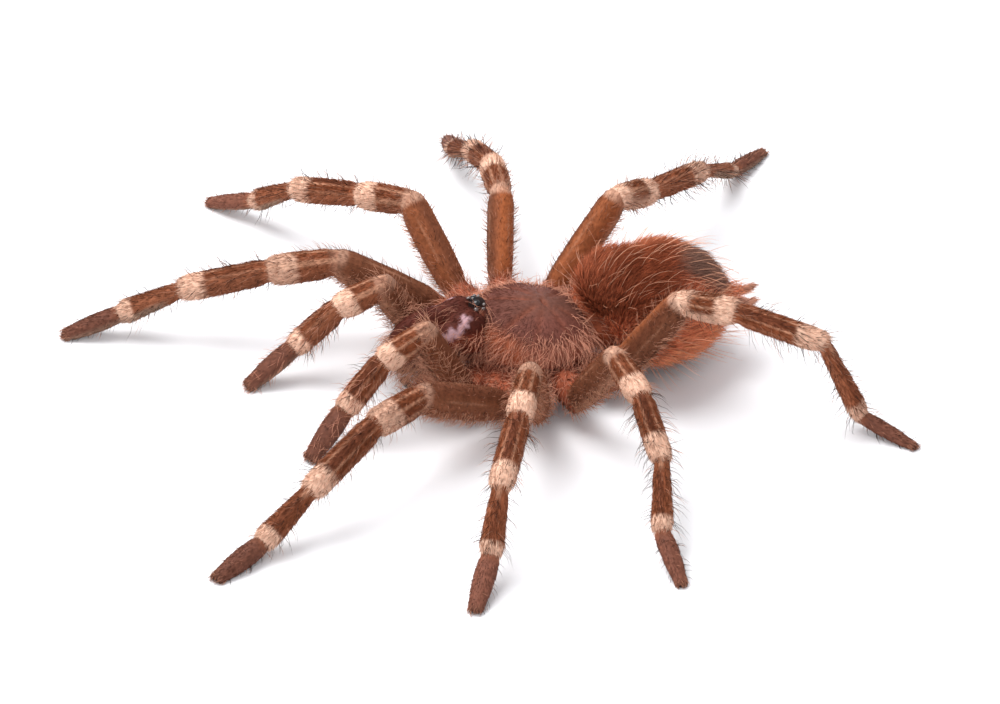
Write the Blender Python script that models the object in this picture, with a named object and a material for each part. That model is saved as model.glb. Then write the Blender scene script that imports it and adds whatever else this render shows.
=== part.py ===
"""Young tarantula standing on a level floor, at life size.

The animal faces -Y, its left side is +X and the floor is z = 0. Every length is written in
millimetres and every angle in degrees; meshes are made in metres. Each solid reaches out to
the tips of the short lying coat. Neighbouring segments part at a thin cut through the joint.
"""

import math

import bmesh
import bpy
from mathutils import Matrix, Vector

MM = 0.001

# Stance: the hips lie in one plane, raised off the floor and tipped head up.
BODY_HEIGHT = 3.0
BODY_TILT = 2.7
JOINT_GAP = 0.2
PLATE_GAP = 0.15

# Carapace, the shield over the head and chest, seated on the hips by a thin flat rim.
CARAPACE_LENGTH = 11.8
CARAPACE_WIDTH = 11.9
CARAPACE_CENTRE = 0.25
CARAPACE_DOME = 2.8
CARAPACE_SEAT = 0.6
RIM_THICKNESS = 0.75
FRONT_CUT = 0.86
FRONT_TAPER = 0.24
REAR_SLOPE = 0.3
HEAD_RISE = 0.6

# Eye mound and the eight eyes on it: across, along, radius across, radius along.
MOUND_PLACE = (0.0, -4.5, 4.3)
MOUND_SIZE = (1.3, 0.95, 0.9)
EYE_RISE = 0.2
EYE_GAP = 0.04
EYES = {
    "front_middle": (0.36, -0.24, 0.27, 0.27),
    "front_side": (0.86, -0.42, 0.22, 0.25),
    "rear_side": (0.98, 0.14, 0.18, 0.20),
    "rear_middle": (0.62, 0.30, 0.13, 0.13),
}

# Underside: breast plate and the ten hip joints that reach out from it.
STERNUM_SIZE = (3.4, 4.3, 1.5)
STERNUM_DROP = 0.75
CHEST_SIZE = (5.3, 5.3, 1.5)
HIP_GIRTH = (2.8, 2.9)
HIP_ROOT_DROP = 0.9

# Abdomen, an egg that hangs from the waist and turns a little to the animal's left.
WAIST = (0.3, 5.8)
ABDOMEN_REACH = 5.5
ABDOMEN_TURN = 18.0
ABDOMEN_HEIGHT = 5.85
ABDOMEN_SIZE = (13.2, 13.4, 11.5)
ABDOMEN_NECK = 0.9
ABDOMEN_TAPER = 0.2

# Spinnerets, the two long ones at the rear: two joints each, rooted beside the abdomen's tip.
SPINNERET_ROOT = (0.75, 0.05, 0.3)
SPINNERET_LEAN = ((0.28, 1.0, 0.30), (0.10, 0.8, 0.75))
SPINNERET_LENGTH = 2.1
SPINNERET_GIRTH = 0.9

# Chelicerae, the two stout jaws in front, each with a fang folded under it.
JAW_OFFSET = 1.38
JAW_GIRTH = (2.5, 3.6)
JAW_PATH = ((-5.6, 2.8), (-8.6, 2.6), (-11.6, 1.2))
FANG_OFFSET = 1.3
FANG_CENTRE = (-9.9, -0.2)
FANG_RADIUS = 1.45
FANG_SWEEP = (196, 300)
FANG_STEPS = 4
FANG_TAPER = 0.76
FANG_GIRTH = 0.85

# Legs are numbered from the front. Lengths run femur, patella, tibia, metatarsus, tarsus.
LIMBS = {
    "leg_1": {
        "hip": (7.8, -5.1, -0.25),
        "root": (1.7, -2.7),
        "lengths": (9.6, 5.7, 7.8, 5.9, 5.3),
        "girths": (3.3, 2.9, 2.6, 2.2, 2.1),
    },
    "leg_2": {
        "hip": (9.4, -2.6, 0.05),
        "root": (2.3, -1.0),
        "lengths": (8.4, 5.5, 6.9, 5.7, 5.3),
        "girths": (3.2, 2.7, 2.5, 2.1, 2.0),
    },
    "leg_3": {
        "hip": (9.2, 1.3, 0.1),
        "root": (2.3, 0.9),
        "lengths": (8.1, 4.7, 5.9, 6.4, 5.3),
        "girths": (2.9, 2.6, 2.3, 1.9, 1.8),
    },
    "leg_4": {
        "hip": (6.9, 5.3, 0.0),
        "root": (1.7, 2.8),
        "lengths": (9.4, 4.8, 7.7, 8.6, 5.1),
        "girths": (3.0, 2.7, 2.3, 1.8, 1.7),
    },
    "palp": {
        "hip": (4.8, -7.4, -0.2),
        "root": (1.3, -4.3),
        "lengths": (6.5, 4.0, 5.3, 5.3),
        "girths": (2.8, 2.7, 2.5, 2.2),
    },
}
SEGMENTS = {
    "leg": ("femur", "patella", "tibia", "metatarsus", "tarsus"),
    "palp": ("femur", "patella", "tibia", "tarsus"),
}

# Pose of each limb. "swing" turns a segment from straight out sideways towards the rear,
# "lift" raises it above level. The last segment's lift is what brings its tip to the floor.
POSE = {
    ("leg_1", "left"): {"swing": (-73, -61, -71, -71, -67), "lift": (27, 4, -27, -29)},
    ("leg_2", "left"): {"swing": (-28, -30, -35, -34, -37), "lift": (52, -2, -23, -50)},
    ("leg_3", "left"): {"swing": (18, 4, -2, -21, -2), "lift": (53, -10, -30, -32)},
    ("leg_4", "left"): {"swing": (67, 47, 54, 66, 35), "lift": (53, 4, -13, -64)},
    ("palp", "left"): {"swing": (-109, -96, -86, -61), "lift": (60, -30, -47)},
    ("leg_1", "right"): {"swing": (-72, -68, -66, -67, -75), "lift": (30, -9, -16, -26)},
    ("leg_2", "right"): {"swing": (-15, -33, -37, -29, -35), "lift": (39, -13, -15, -34)},
    ("leg_3", "right"): {"swing": (22, 11, 3, 4, 16), "lift": (35, 0, -20, -31)},
    ("leg_4", "right"): {"swing": (69, 62, 58, 45, 54), "lift": (40, -18, -14, -31)},
    ("palp", "right"): {"swing": (-94, -75, -76, -94), "lift": (55, -26, -44)},
}
SIDES = {"left": 1, "right": -1}
TIP_HEIGHT = 0.15

# How full a segment is along its length: (fraction of the length, share of the full girth).
FULLNESS = {
    "hip": ((0.0, 0.7), (0.5, 1.0), (0.8, 1.0), (1.0, 0.86)),
    "femur": ((0.0, 0.8), (0.14, 0.94), (0.45, 1.0), (0.85, 0.98), (1.0, 0.82)),
    "patella": ((0.0, 0.8), (0.2, 0.95), (0.8, 1.0), (1.0, 0.88)),
    "tibia": ((0.0, 0.84), (0.15, 0.96), (0.86, 1.0), (1.0, 0.86)),
    "metatarsus": ((0.0, 0.8), (0.2, 0.92), (0.82, 1.0), (1.0, 0.84)),
    "tarsus": ((0.14, 0.92), (0.42, 1.0), (0.7, 0.95), (0.89, 0.74), (1.0, 0.4)),
    "jaw": ((0.0, 0.92), (0.3, 1.0), (1.0, 1.0)),
    "jaw_tip": ((0.35, 0.98), (0.65, 0.86), (0.87, 0.62), (1.0, 0.34)),
    "spinneret": ((0.0, 0.9), (0.45, 1.0), (1.0, 0.86)),
    "spinneret_tip": ((0.3, 0.86), (0.75, 0.66), (1.0, 0.36)),
}
# Width and height of a segment as shares of its girth: thighs are deep, feet are broad pads.
SECTION = {
    "femur": (0.92, 1.06),
    "patella": (0.97, 1.03),
    "tibia": (1.0, 1.0),
    "metatarsus": (1.03, 0.95),
    "tarsus": (1.05, 0.82),
}
LIMB_SIDES = 12

FINISHES = {
    "carapace": ((0.16, 0.085, 0.06), 0.55),
    "femur": ((0.17, 0.075, 0.035), 0.6),
    "patella": ((0.22, 0.13, 0.085), 0.7),
    "tibia": ((0.15, 0.085, 0.05), 0.65),
    "foot": ((0.17, 0.11, 0.08), 0.75),
    "tarsus": ((0.16, 0.10, 0.07), 0.75),
    "underside": ((0.28, 0.12, 0.08), 0.7),
    "abdomen": ((0.23, 0.08, 0.035), 0.8),
    "spinneret": ((0.55, 0.27, 0.12), 0.7),
    "chelicera": ((0.10, 0.035, 0.025), 0.5),
    "fang": ((0.01, 0.008, 0.007), 0.2),
    "eye": ((0.01, 0.01, 0.012), 0.08),
}


def clear_scene():
    for item in list(bpy.data.objects):
        bpy.data.objects.remove(item)
    for mesh in list(bpy.data.meshes):
        bpy.data.meshes.remove(mesh)


def new_collection(name):
    collection = bpy.data.collections.new(name)
    bpy.context.scene.collection.children.link(collection)
    return collection


def finish(name):
    material = bpy.data.materials.get(name) or bpy.data.materials.new(name)
    material.use_nodes = True
    colour, roughness = FINISHES[name]
    shader = material.node_tree.nodes["Principled BSDF"]
    shader.inputs["Base Color"].default_value = (*colour, 1.0)
    shader.inputs["Roughness"].default_value = roughness
    shader.inputs["Metallic"].default_value = 0.0
    return material


def make_object(name, shape, collection, finish_name):
    """Turns a bmesh in millimetres into a smooth-shaded object in metres."""
    shape.normal_update()
    bmesh.ops.recalc_face_normals(shape, faces=shape.faces)
    bmesh.ops.scale(shape, vec=(MM, MM, MM), verts=shape.verts)
    mesh = bpy.data.meshes.new(name)
    shape.to_mesh(mesh)
    shape.free()
    mesh.shade_smooth()
    mesh.set_sharp_from_angle(angle=math.radians(40))
    mesh.materials.append(finish(finish_name))
    item = bpy.data.objects.new(name, mesh)
    collection.objects.link(item)
    return item


def hide_helper(item):
    item.hide_render = True
    item.display_type = "WIRE"


def add_boolean(item, operation, other):
    modifier = item.modifiers.new(operation.lower() + "_" + other.name, "BOOLEAN")
    modifier.operation = operation
    modifier.solver = "EXACT"
    modifier.object = other


def body_frame():
    """Place and tilt of the hip plane, from body measures to the floor's frame."""
    return Matrix.Translation((0, 0, BODY_HEIGHT)) @ Matrix.Rotation(math.radians(-BODY_TILT), 4, "X")


def mirrored(point, sign):
    return Vector((sign * point[0], point[1], point[2]))


# ---- limbs ---------------------------------------------------------------------------------


def direction_of(swing, lift, sign):
    swing, lift = math.radians(swing), math.radians(lift)
    level = math.cos(lift)
    return Vector((sign * math.cos(swing) * level, math.sin(swing) * level, math.sin(lift)))


def across(direction):
    """The level and the upright unit vectors square to a segment's direction."""
    side = direction.cross(Vector((0, 0, 1))).normalized()
    return side, side.cross(direction)


def halving_plane(direction, neighbour):
    """Normal of the plane that halves the bend between two segments, or of a square end."""
    return (direction + neighbour).normalized() if neighbour else direction


def segment_rings(start, end, before, after, fullness, half_width, half_height):
    """Rings of points round one straight segment, sheared so that its ends meet the joints."""
    direction = (end - start).normalized()
    length = (end - start).length
    side, up = across(direction)
    near_plane = halving_plane(direction, before)
    far_plane = halving_plane(direction, after)
    rings = []
    for fraction, share in fullness:
        ring = []
        for step in range(LIMB_SIDES):
            angle = 2 * math.pi * step / LIMB_SIDES
            offset = side * (half_width * share * math.cos(angle))
            offset += up * (half_height * share * math.sin(angle))
            near = -offset.dot(near_plane) / direction.dot(near_plane)
            far = length - offset.dot(far_plane) / direction.dot(far_plane)
            ring.append(start + offset + direction * (near + (far - near) * fraction))
        rings.append(ring)
    return rings


def loft(rings):
    """Closed skin over rings of equal count, with a flat cap on each end."""
    shape = bmesh.new()
    rows = [[shape.verts.new(point) for point in ring] for ring in rings]
    for row, following in zip(rows, rows[1:]):
        for i in range(len(row)):
            j = (i + 1) % len(row)
            shape.faces.new((row[i], row[j], following[j], following[i]))
    shape.faces.new(rows[0])
    shape.faces.new(rows[-1])
    return shape


def part_ends(rings, gap_near, gap_far, near_plane, far_plane):
    """Draws the first and last ring back along their planes' normals to leave a joint gap."""
    rings[0] = [point + near_plane * gap_near / 2 for point in rings[0]]
    rings[-1] = [point - far_plane * gap_far / 2 for point in rings[-1]]


def limb_points(limb, side):
    """Joint centres of a limb from hip to claw, the claw end resting at the floor."""
    sign = SIDES[side]
    lengths = LIMBS[limb]["lengths"]
    pose = POSE[limb, side]
    points = [body_frame() @ mirrored(LIMBS[limb]["hip"], sign)]
    for length, swing, lift in zip(lengths, pose["swing"], pose["lift"]):
        points.append(points[-1] + length * direction_of(swing, lift, sign))
    drop = points[-1].z - TIP_HEIGHT
    lift = -math.degrees(math.asin(drop / lengths[-1]))
    points.append(points[-1] + lengths[-1] * direction_of(pose["swing"][-1], lift, sign))
    return points


def hip_direction(limb, side):
    root, hip = hip_ends(limb, side)
    return (hip - root).normalized()


def hip_ends(limb, side):
    sign = SIDES[side]
    root = (*LIMBS[limb]["root"], -HIP_ROOT_DROP)
    return body_frame() @ mirrored(root, sign), body_frame() @ mirrored(LIMBS[limb]["hip"], sign)


def press_to_floor(rings):
    """Flattens the pad under a foot where it meets the floor."""
    return [[Vector((p.x, p.y, max(p.z, 0.0))) for p in ring] for ring in rings]


def make_limb(limb, side, collection):
    points = limb_points(limb, side)
    names = SEGMENTS["palp" if limb == "palp" else "leg"]
    directions = [hip_direction(limb, side)]
    directions += [(b - a).normalized() for a, b in zip(points, points[1:])]
    directions.append(None)
    foot = []
    for i, segment in enumerate(names):
        girth = LIMBS[limb]["girths"][i]
        width, height = SECTION[segment]
        before, direction, after = directions[i : i + 3]
        is_claw_end = after is None
        fullness = FULLNESS[segment]
        if segment == "tarsus" and limb == "palp":
            fullness = ((0.0, 0.84),) + fullness
        rings = segment_rings(
            points[i], points[i + 1], before, after, fullness, girth * width / 2, girth * height / 2
        )
        starts_foot = segment == "metatarsus"
        joined_to_last = segment == "tarsus" and limb != "palp"
        part_ends(
            rings,
            0.0 if joined_to_last else JOINT_GAP,
            0.0 if is_claw_end or starts_foot else JOINT_GAP,
            halving_plane(direction, before),
            halving_plane(direction, after),
        )
        if starts_foot:
            foot = rings
            continue
        if is_claw_end:
            rings = press_to_floor(foot + rings)
        part = "foot" if joined_to_last else segment
        make_object(f"{limb}_{side}_{part}", loft(rings), collection, part)


# ---- body ----------------------------------------------------------------------------------


def shaped_ball(segments, rings, place_point):
    """A sphere whose every point is moved by a formula of its place on the unit sphere."""
    shape = bmesh.new()
    bmesh.ops.create_uvsphere(shape, u_segments=segments, v_segments=rings, radius=1.0)
    for vertex in shape.verts:
        vertex.co = place_point(*vertex.co)
    return shape


def carapace_point(u, v, w):
    """Broad shield: blunt and steep in front, fullest at the head, on a thin flat rim."""
    ahead = max(0.0, -v)
    v = max(v, -FRONT_CUT)
    x = CARAPACE_WIDTH / 2 * u * (1.0 - FRONT_TAPER * ahead**2)
    y = CARAPACE_LENGTH / 2 * v + CARAPACE_CENTRE
    if w > 0:
        rise = math.sqrt(w**2 + HEAD_RISE * ahead**2 * w)
        z = CARAPACE_DOME * rise * (1.0 - REAR_SLOPE * max(0.0, v) ** 2)
    else:
        z = max(3 * RIM_THICKNESS * w, -RIM_THICKNESS)
    return body_frame() @ Vector((x, y, CARAPACE_SEAT + RIM_THICKNESS + z))


def swollen(item, gap, helpers):
    """A hidden copy of a solid, thicker all over by the gap that its neighbour keeps to it."""
    cutter = bpy.data.objects.new(f"room_for_{item.name}", item.data.copy())
    helpers.objects.link(cutter)
    mesh = cutter.data
    for vertex, outward in zip(mesh.vertices, [v.normal.copy() for v in mesh.vertices]):
        vertex.co += outward * gap * MM
    hide_helper(cutter)
    return cutter


def make_carapace(collection, helpers):
    shield = make_object("carapace", shaped_ball(26, 14, carapace_point), collection, "carapace")

    def mound_point(u, v, w):
        place = [c + s * d for c, s, d in zip(MOUND_PLACE, MOUND_SIZE, (u, v, w))]
        return body_frame() @ Vector(place)

    mound = make_object("mound_shape", shaped_ball(16, 10, mound_point), helpers, "carapace")
    hide_helper(mound)
    add_boolean(shield, "UNION", mound)


def make_eyes(collection):
    """Each eye is a low lens seated square on the mound's own slope."""
    for name, (across_mound, along_mound, radius_across, radius_along) in EYES.items():
        for side, sign in SIDES.items():
            spot = Vector((sign * across_mound / MOUND_SIZE[0], along_mound / MOUND_SIZE[1], 0))
            spot.z = math.sqrt(1 - spot.length_squared)
            slope = Vector([c / s for c, s in zip(spot, MOUND_SIZE)]).normalized()
            centre = Vector([c + s * d for c, s, d in zip(MOUND_PLACE, MOUND_SIZE, spot)])
            turn = Vector((0, 0, 1)).rotation_difference(slope).to_matrix().to_4x4()
            lens = bmesh.new()
            bmesh.ops.create_uvsphere(lens, u_segments=12, v_segments=6, radius=1.0)
            bmesh.ops.scale(lens, vec=(radius_across, radius_along, EYE_RISE), verts=lens.verts)
            everything = lens.verts[:] + lens.edges[:] + lens.faces[:]
            bmesh.ops.bisect_plane(
                lens, geom=everything, plane_co=(0, 0, 0), plane_no=(0, 0, 1), clear_inner=True
            )
            bmesh.ops.holes_fill(lens, edges=lens.edges)
            place = Matrix.Translation(centre + slope * EYE_GAP) @ turn
            bmesh.ops.transform(lens, matrix=body_frame() @ place, verts=lens.verts)
            make_object(f"eye_{name}_{side}", lens, collection, "eye")


def make_underside(collection, helpers):
    """Breast plate and hips in one piece, trimmed flat where the carapace sits on it."""

    def plate_point(u, v, w):
        x, y, z = (size * d for size, d in zip(STERNUM_SIZE, (u, v, w)))
        return body_frame() @ Vector((x, y, z - STERNUM_DROP))

    def chest_point(u, v, w):
        x, y, z = (size * d for size, d in zip(CHEST_SIZE, (u, v, w)))
        return body_frame() @ Vector((x, y, z))

    plate = make_object("underside", shaped_ball(16, 10, plate_point), collection, "underside")
    chest = make_object("chest_shape", shaped_ball(16, 8, chest_point), helpers, "underside")
    hide_helper(chest)
    add_boolean(plate, "UNION", chest)
    half_width, half_height = (girth / 2 for girth in HIP_GIRTH)
    for limb, side in POSE:
        root, hip = hip_ends(limb, side)
        points = limb_points(limb, side)
        onward = (points[1] - points[0]).normalized()
        rings = segment_rings(root, hip, None, onward, FULLNESS["hip"], half_width, half_height)
        part_ends(rings, 0.0, JOINT_GAP, onward, halving_plane((hip - root).normalized(), onward))
        shape = make_object(f"hip_shape_{limb}_{side}", loft(rings), helpers, "underside")
        hide_helper(shape)
        add_boolean(plate, "UNION", shape)
    trim = bmesh.new()
    bmesh.ops.create_cube(trim, size=1.0)
    room = CARAPACE_LENGTH * 1.2
    bmesh.ops.scale(trim, vec=(CARAPACE_WIDTH, room, room), verts=trim.verts)
    seat = CARAPACE_SEAT - PLATE_GAP
    bmesh.ops.transform(
        trim, matrix=body_frame() @ Matrix.Translation((0, 0, seat + room / 2)), verts=trim.verts
    )
    cutter = make_object("carapace_room", trim, helpers, "underside")
    hide_helper(cutter)
    add_boolean(plate, "DIFFERENCE", cutter)


def abdomen_frame():
    turn = math.radians(ABDOMEN_TURN)
    centre = Vector((*WAIST, ABDOMEN_HEIGHT))
    centre += ABDOMEN_REACH * Vector((math.sin(turn), math.cos(turn), 0))
    return Matrix.Translation(centre) @ Matrix.Rotation(-turn, 4, "Z")


def make_abdomen(collection, helpers):
    """Egg, narrower at the waist, whose coat gives way to the carapace and the left hind thigh."""

    def egg_point(u, v, w):
        # The sphere's poles go to the two ends of the egg.
        across_egg, along, height = v, w, u
        narrow = 1.0 - ABDOMEN_TAPER * max(0.0, -along) ** 1.5
        x = ABDOMEN_SIZE[0] / 2 * across_egg * narrow
        y = ABDOMEN_SIZE[1] / 2 * (along if along > 0 else along * ABDOMEN_NECK)
        z = ABDOMEN_SIZE[2] / 2 * height * narrow
        return abdomen_frame() @ Vector((x, y, z))

    egg = make_object("abdomen", shaped_ball(24, 18, egg_point), collection, "abdomen")
    for name in ("carapace", "leg_4_left_femur"):
        add_boolean(egg, "DIFFERENCE", swollen(bpy.data.objects[name], JOINT_GAP, helpers))


def make_spinnerets(collection):
    rear_end = Vector((0, ABDOMEN_SIZE[1] / 2, 0))
    turned = abdomen_frame().to_3x3()
    for side, sign in SIDES.items():
        root = abdomen_frame() @ (rear_end + mirrored(SPINNERET_ROOT, sign))
        outward, upward = (turned @ mirrored(lean, sign).normalized() for lean in SPINNERET_LEAN)
        bend = root + outward * SPINNERET_LENGTH / 2
        tip = bend + upward * SPINNERET_LENGTH / 2
        radius = SPINNERET_GIRTH / 2
        rings = segment_rings(root, bend, None, upward, FULLNESS["spinneret"], radius, radius)
        rings += segment_rings(bend, tip, outward, None, FULLNESS["spinneret_tip"], radius, radius)
        make_object(f"spinneret_{side}", loft(rings), collection, "spinneret")


def make_jaws(collection):
    half_width, half_height = (girth / 2 for girth in JAW_GIRTH)
    for side, sign in SIDES.items():
        base, knee, front = (
            body_frame() @ Vector((sign * JAW_OFFSET, along, height)) for along, height in JAW_PATH
        )
        first = (knee - base).normalized()
        second = (front - knee).normalized()
        rings = segment_rings(base, knee, None, second, FULLNESS["jaw"], half_width, half_height)
        rings += segment_rings(knee, front, first, None, FULLNESS["jaw_tip"], half_width, half_height)
        make_object(f"chelicera_{side}", loft(rings), collection, "chelicera")


def make_fangs(collection):
    """A fang is a tapering hook that curves from the jaw's front down and back to the mouth."""
    for side, sign in SIDES.items():
        centre_y, centre_z = FANG_CENTRE
        first, last = FANG_SWEEP
        arc = []
        for step in range(FANG_STEPS + 1):
            angle = math.radians(first + (last - first) * step / FANG_STEPS)
            y = centre_y + FANG_RADIUS * math.cos(angle)
            z = centre_z + FANG_RADIUS * math.sin(angle)
            arc.append(body_frame() @ Vector((sign * FANG_OFFSET, y, z)))
        rings = []
        for step, point in enumerate(arc):
            ahead = arc[min(step + 1, FANG_STEPS)] - arc[max(step - 1, 0)]
            outward, up = across(ahead.normalized())
            radius = FANG_GIRTH / 2 * (1 - FANG_TAPER * step / FANG_STEPS)
            ring = []
            for k in range(LIMB_SIDES):
                angle = 2 * math.pi * k / LIMB_SIDES
                ring.append(point + outward * radius * math.cos(angle) + up * radius * math.sin(angle))
            rings.append(ring)
        make_object(f"fang_{side}", loft(rings), collection, "fang")


# ---- assembly ------------------------------------------------------------------------------


def centre_on_floor(collection):
    """Moves everything so that the origin is the middle of the ground the animal covers."""
    corners = [v.co for item in collection.objects for v in item.data.vertices]
    middle_x = (min(c.x for c in corners) + max(c.x for c in corners)) / 2
    middle_y = (min(c.y for c in corners) + max(c.y for c in corners)) / 2
    for item in bpy.data.objects:
        item.location = (-middle_x, -middle_y, 0)


def main():
    clear_scene()
    tarantula = new_collection("tarantula")
    helpers = new_collection("joining shapes and cutters")
    make_carapace(tarantula, helpers)
    make_eyes(tarantula)
    make_jaws(tarantula)
    make_fangs(tarantula)
    make_underside(tarantula, helpers)
    for limb, side in POSE:
        make_limb(limb, side, tarantula)
    make_abdomen(tarantula, helpers)
    make_spinnerets(tarantula)
    centre_on_floor(tarantula)


main()
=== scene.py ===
"""Looks of a young tarantula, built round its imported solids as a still, life-size model.

The animal faces -Y, its left side is +X and it stands on z = 0. Shapes are worked out in
millimetres from the solids and become meshes in metres. One skin covers all its flesh, and
the coat is solid hair over it, which carries the same markings.
"""

import math

import bmesh
import bpy
import numpy as np
from mathutils import Matrix, Vector
from mathutils.kdtree import KDTree


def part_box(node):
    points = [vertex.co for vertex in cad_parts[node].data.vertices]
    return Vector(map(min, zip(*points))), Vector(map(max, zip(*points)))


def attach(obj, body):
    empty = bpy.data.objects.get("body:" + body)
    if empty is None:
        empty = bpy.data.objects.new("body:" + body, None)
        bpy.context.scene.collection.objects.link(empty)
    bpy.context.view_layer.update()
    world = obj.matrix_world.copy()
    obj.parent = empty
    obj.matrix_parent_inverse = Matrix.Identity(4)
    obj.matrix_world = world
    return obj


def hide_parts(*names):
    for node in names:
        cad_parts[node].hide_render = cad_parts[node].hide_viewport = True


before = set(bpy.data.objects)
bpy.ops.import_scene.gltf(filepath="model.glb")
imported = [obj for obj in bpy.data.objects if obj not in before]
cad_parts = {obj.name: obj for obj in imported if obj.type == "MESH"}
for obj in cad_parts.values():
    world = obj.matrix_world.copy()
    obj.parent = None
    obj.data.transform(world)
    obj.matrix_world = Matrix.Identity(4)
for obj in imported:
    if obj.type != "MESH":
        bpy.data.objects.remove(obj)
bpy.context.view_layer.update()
MM = 0.001
SIDES = {"left": 1, "right": -1}


# ---- display floor, light and camera ----
# A sheet of matt white board under a broad overhead softbox, with a bright room all round,
# so that the shadows stay pale. The camera looks down on the animal from its left.

FLOOR_HALF = 400.0
CAMERA_TURN = 68.9
CAMERA_RISE = 34.6
CAMERA_REACH = 771.0
CAMERA_LENS = 327.7
LOOK_AT = (-2.45, 0.65, 0.0)
scene = bpy.context.scene
scene.view_settings.view_transform = "Standard"
room = bpy.data.worlds.new("bright_room")
room.use_nodes = True
room.node_tree.nodes["Background"].inputs["Color"].default_value = (0.96, 0.97, 1.0, 1.0)
room.node_tree.nodes["Background"].inputs["Strength"].default_value = 0.78
scene.world = room


def new_material(name, roughness, shine):
    """A material with its own Principled shader, and that shader."""
    material = bpy.data.materials.new(name)
    material.use_nodes = True
    shader = material.node_tree.nodes["Principled BSDF"]
    shader.inputs["Roughness"].default_value = roughness
    shader.inputs["Specular IOR Level"].default_value = shine
    return material, shader


def link(material, source, socket):
    material.node_tree.links.new(source, socket)


def mesh_from(shape, name):
    """A mesh with the faces of a bmesh, which is then freed."""
    mesh = bpy.data.meshes.new(name)
    shape.to_mesh(mesh)
    shape.free()
    return mesh


def put_in_scene(name, data):
    item = bpy.data.objects.new(name, data)
    scene.collection.objects.link(item)
    return item


board = bmesh.new()
bmesh.ops.create_grid(board, x_segments=8, y_segments=8, size=FLOOR_HALF * MM)
floor = put_in_scene("display_floor", mesh_from(board, "display_floor"))
white, shader = new_material("matt_white_board", 0.9, 0.1)
shader.inputs["Base Color"].default_value = (0.86, 0.86, 0.875, 1.0)
floor.data.materials.append(white)


def softbox(name, place, size, watts):
    lamp = bpy.data.lights.new(name, "AREA")
    lamp.shape = "RECTANGLE"
    lamp.size, lamp.size_y = (s * MM for s in size)
    lamp.energy = watts
    holder = put_in_scene(name, lamp)
    holder.location = Vector(place) * MM
    holder.rotation_euler = (-Vector(place)).to_track_quat("-Z", "Y").to_euler()


softbox("overhead_softbox", (-110, -90, 330), (260, 260), 1.55)
softbox("side_softbox", (260, -220, 240), (120, 180), 0.42)

camera = put_in_scene("camera", bpy.data.cameras.new("camera"))
turn, rise = math.radians(CAMERA_TURN), math.radians(CAMERA_RISE)
towards = Vector((math.sin(turn) * math.cos(rise), -math.cos(turn) * math.cos(rise), math.sin(rise)))
camera.location = (Vector(LOOK_AT) + towards * CAMERA_REACH) * MM
camera.rotation_euler = (-towards).to_track_quat("-Z", "Y").to_euler()
camera.data.lens = CAMERA_LENS
camera.data.clip_start = 0.05
camera.data.clip_end = 5.0
scene.camera = camera


# ---- skin ----
# The soft and hard skin of legs, palps, jaws, hips, abdomen and spinnerets, in one piece
# that follows the solids a coat's depth inside them and narrows at every joint.

LIMBS = ("leg_1", "leg_2", "leg_3", "leg_4", "palp")
PARTS = ("femur", "patella", "tibia", "metatarsus", "tarsus")


def by_limb(*values):
    """A table of values for the limbs, in their order; a last one left out is the palps'."""
    return dict(zip(LIMBS, values))


ANKLE_SHARE = by_limb(0.527, 0.518, 0.547, 0.628)
CUT_REACH = 0.45
LEG_COAT = 0.18
RING_SIDES = 24
HIP_DEPTH = 1.4
TIP_REACH = 0.35
REAR_SHIN_GIRTH = 0.87
VOXEL = 0.17
# How full the skin of each part is at shares of its length, with a narrow neck at each end.
SKIN_SHAPE = {
    "femur": ((0, 0.70), (0.04, 0.82), (0.14, 0.93), (0.45, 1), (0.85, 0.98), (0.95, 0.88), (1, 0.72)),
    "patella": ((0, 0.72), (0.07, 0.86), (0.2, 0.95), (0.6, 1.02), (0.86, 1), (0.96, 0.9), (1, 0.74)),
    "tibia": ((0, 0.72), (0.05, 0.87), (0.15, 0.96), (0.5, 1), (0.88, 1), (0.97, 0.89), (1, 0.74)),
    "metatarsus": ((0, 0.68), (0.05, 0.78), (0.3, 0.88), (0.6, 1), (0.84, 1.1), (0.94, 1.0), (1, 0.78)),
    "tarsus": ((0, 0.84), (0.07, 0.99), (0.3, 1.08), (0.6, 1), (0.84, 0.82), (0.95, 0.76), (1, 0.64)),
}


def rows_of(items, field, kind=np.float32):
    """Three numbers for each of a mesh's vertices or triangles, as rows."""
    values = np.empty(len(items) * 3, kind)
    items.foreach_get(field, values)
    return values.reshape(-1, 3)


def node_points(node):
    """The corners of a solid in millimetres, each once."""
    points = rows_of(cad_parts[node].data.vertices, "co") / MM
    return np.unique(np.round(points, 3).astype(float), axis=0)


def unit(vectors):
    return vectors / np.maximum(np.linalg.norm(vectors, axis=-1, keepdims=True), 1e-9)


def cut_centre(one, other):
    """Middle of the thin cut where two neighbouring solids face each other."""
    a, b = node_points(one), node_points(other)
    near = np.linalg.norm(a[:, None] - b[None], axis=2) < CUT_REACH
    return (a[near.any(axis=1)].mean(axis=0) + b[near.any(axis=0)].mean(axis=0)) / 2


def span_place(points, start, end):
    """Share of the way along a straight span, and the offset from its line."""
    line = end - start
    share = (points - start) @ line / (line @ line)
    nearest = start + np.clip(share, 0, 1)[:, None] * line
    return share, points - nearest


def across(direction):
    """The level and the upright unit vectors square to a direction."""
    side = unit(np.cross(direction, (0, 0, 1)))
    return side, np.cross(side, direction)


def bend_of(points, start, tip, share):
    """Where a foot bends: the place of the ankle that best centres both spans in the solid."""

    def misfit(ankle):
        above = np.linalg.norm(span_place(points, start, ankle)[1], axis=1)
        below = np.linalg.norm(span_place(points, ankle, tip)[1], axis=1)
        return (np.minimum(above, below) ** 2).sum()

    ankle = start + share * (tip - start)
    level, upright = across(unit(tip - start))
    for step in (1.0, 0.5, 0.25, 0.12, 0.06):
        moves = [step * m for m in (0 * level, level, -level, upright, -upright)]
        for _ in range(6):
            ankle = min((ankle + move for move in moves), key=misfit)
    return ankle


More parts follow.
